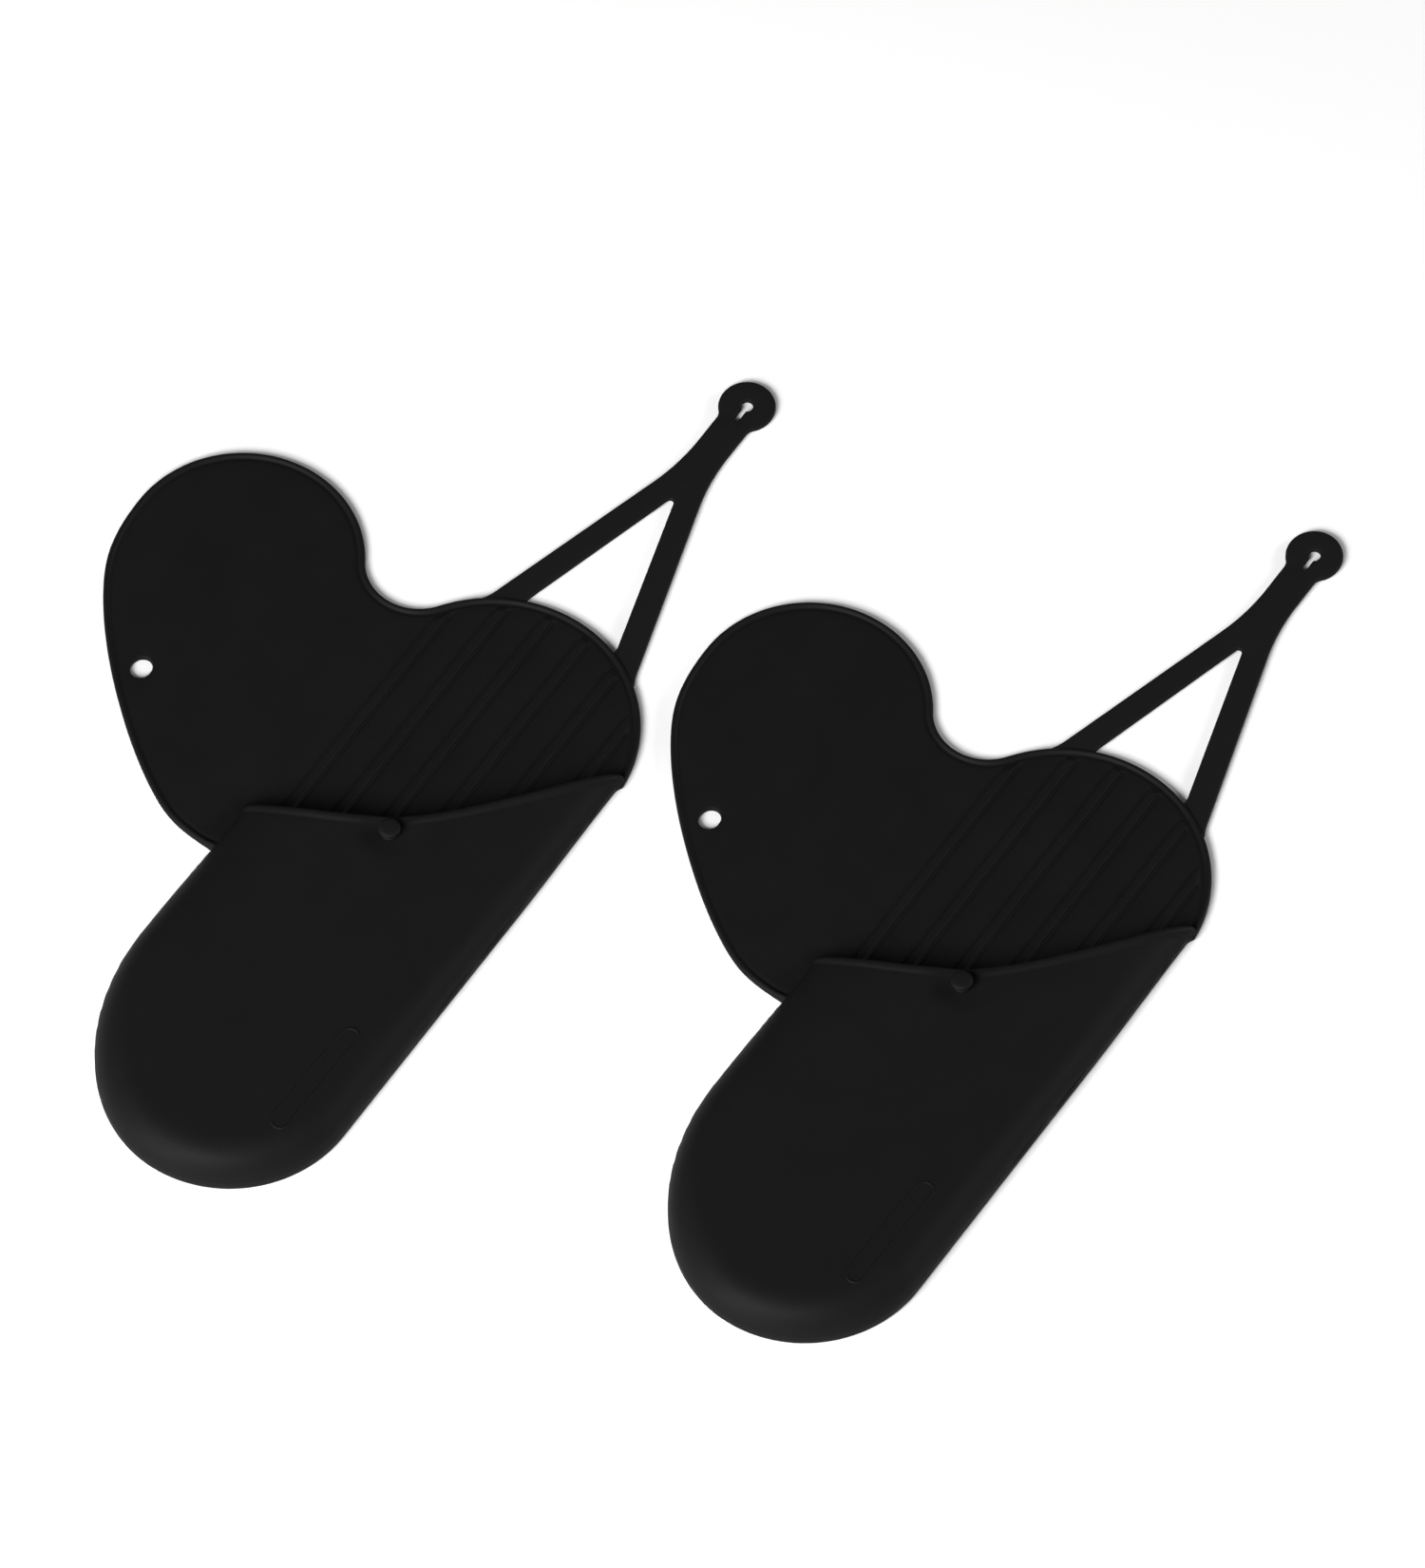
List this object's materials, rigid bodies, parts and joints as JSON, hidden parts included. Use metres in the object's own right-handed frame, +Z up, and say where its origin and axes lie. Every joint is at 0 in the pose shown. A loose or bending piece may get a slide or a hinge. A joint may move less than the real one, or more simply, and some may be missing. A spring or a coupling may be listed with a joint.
{
  "type": "skate blade guards",
  "caption": "Pair of soft fold-over silicone blade pouches, each with a slanted pocket, ribbed back, buttoned side flap and Y-shaped keyhole strap.",
  "frame": {"origin": "on the table, under the middle of the pair's bounding box", "axes": "+Y along both guards from the closed end to the strap, +X to the right across them, +Z up from the table"},
  "size_m": [0.4243, 0.4609, 0.0192],
  "materials": {
    "silicone": "matt black moulded silicone with a faint sheen"
  },
  "bodies": {
    "left_guard": {"left_back_panel": "silicone", "left_panel_edge_bead": "silicone", "left_pocket_front": "silicone", "left_pocket_mouth_lip": "silicone", "left_button_stem": "silicone", "left_button_head": "silicone", "left_rib_1": "silicone", "left_rib_2": "silicone", "left_rib_3": "silicone", "left_rib_4": "silicone", "left_rib_5": "silicone", "left_rib_6": "silicone", "left_strap_left_root": "silicone", "left_strap_right_root": "silicone"},
    "left_flap": {"left_flap_sheet": "silicone", "left_flap_edge_bead": "silicone"},
    "left_strap": {"left_strap_left_arm": "silicone", "left_strap_right_arm": "silicone", "left_strap_neck": "silicone", "left_strap_keyhole_tab": "silicone"},
    "right_guard": {"right_back_panel": "silicone", "right_panel_edge_bead": "silicone", "right_pocket_front": "silicone", "right_pocket_mouth_lip": "silicone", "right_button_stem": "silicone", "right_button_head": "silicone", "right_rib_1": "silicone", "right_rib_2": "silicone", "right_rib_3": "silicone", "right_rib_4": "silicone", "right_rib_5": "silicone", "right_rib_6": "silicone", "right_strap_left_root": "silicone", "right_strap_right_root": "silicone"},
    "right_flap": {"right_flap_sheet": "silicone", "right_flap_edge_bead": "silicone"},
    "right_strap": {"right_strap_left_arm": "silicone", "right_strap_right_arm": "silicone", "right_strap_neck": "silicone", "right_strap_keyhole_tab": "silicone"}
  },
  "joints": [
    {"name": "left_flap_fold", "type": "hinge", "parent": "left_guard", "child": "left_flap", "pos_m": [-0.11045, -0.06665, 0.0095], "axis": [0.1106, 0.9939, 0], "range_deg": [0, 177]},
    {"name": "left_strap_fold", "type": "hinge", "parent": "left_guard", "child": "left_strap", "pos_m": [-0.05065, 0.04525, 0.013], "axis": [1, 0, 0], "range_deg": [0, 175]},
    {"name": "right_flap_fold", "type": "hinge", "parent": "right_guard", "child": "right_flap", "pos_m": [0.09755, -0.00355, 0.0095], "axis": [0.1106, 0.9939, 0], "range_deg": [0, 177]},
    {"name": "right_strap_fold", "type": "hinge", "parent": "right_guard", "child": "right_strap", "pos_m": [0.15735, 0.10835, 0.013], "axis": [1, 0, 0], "range_deg": [0, 175]},
    {"name": "pair_apart", "type": "slide", "parent": "left_guard", "child": "right_guard", "axis": [1, 0, 0], "range_m": [0, 0.1]}
  ]
}
